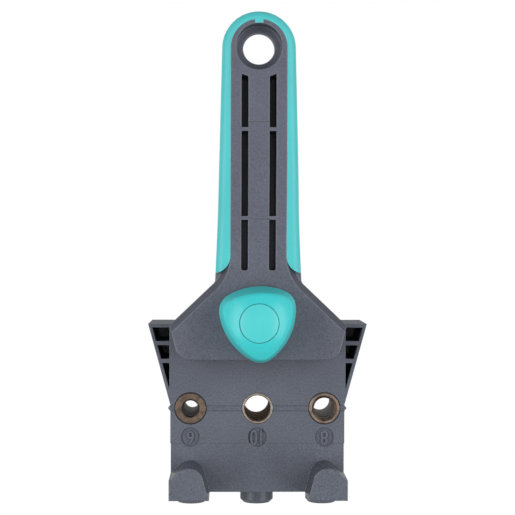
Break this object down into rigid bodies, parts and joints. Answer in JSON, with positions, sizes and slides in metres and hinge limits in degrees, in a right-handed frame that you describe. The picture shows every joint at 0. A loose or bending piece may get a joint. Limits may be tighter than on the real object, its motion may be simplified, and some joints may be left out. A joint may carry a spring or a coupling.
{
  "type": "doweling jig",
  "caption": "Hand-held doweling jig: a drilling head with steel bushes, arched feet and side wings, and a soft-grip handle whose foot is a sliding fence clamped by a knob.",
  "frame": {"origin": "on the middle bush's axis, in the head's back face, on which the jig lies", "axes": "+X across the head, from the 6 mm bush to the 8 mm bush; +Y up the handle; +Z along the bushes, out of the head's front"},
  "size_m": [0.0848, 0.1902, 0.062],
  "materials": {
    "grey_plastic": "fine spark-eroded texture, glass-filled nylon",
    "turquoise_rubber": "satin thermoplastic elastomer",
    "turquoise_plastic": "satin moulded",
    "bush_steel": "hardened, brown from oil",
    "zinc_steel": "bright zinc plate"
  },
  "bodies": {
    "head": {"drill_head": "grey_plastic", "bush_6": "bush_steel", "bush_10": "bush_steel", "bush_8": "bush_steel"},
    "handle": {"handle_body": "grey_plastic", "soft_grip": "turquoise_rubber", "clamp_bolt": "zinc_steel", "clamp_plate": "zinc_steel"},
    "thrust_ring": {"thrust_washer": "zinc_steel"},
    "knob": {"clamp_knob": "turquoise_plastic", "knob_cap": "turquoise_plastic", "knob_nut": "zinc_steel"}
  },
  "joints": [
    {"name": "fence_slide", "type": "slide", "parent": "head", "child": "handle", "axis": [0, 1, 0], "range_m": [-0.0107, 0]},
    {"name": "knob_lift", "type": "slide", "parent": "handle", "child": "thrust_ring", "axis": [0, 0, 1], "range_m": [0, 0.0008]},
    {"name": "knob_turn", "type": "hinge", "parent": "thrust_ring", "child": "knob", "pos_m": [0, 0.0347, 0.05], "axis": [0, 0, 1], "range_deg": [0, 270]}
  ],
  "couplings": [
    {"joint": "knob_lift", "follows": "knob_turn", "m_per_rad": 0.00015915}
  ]
}
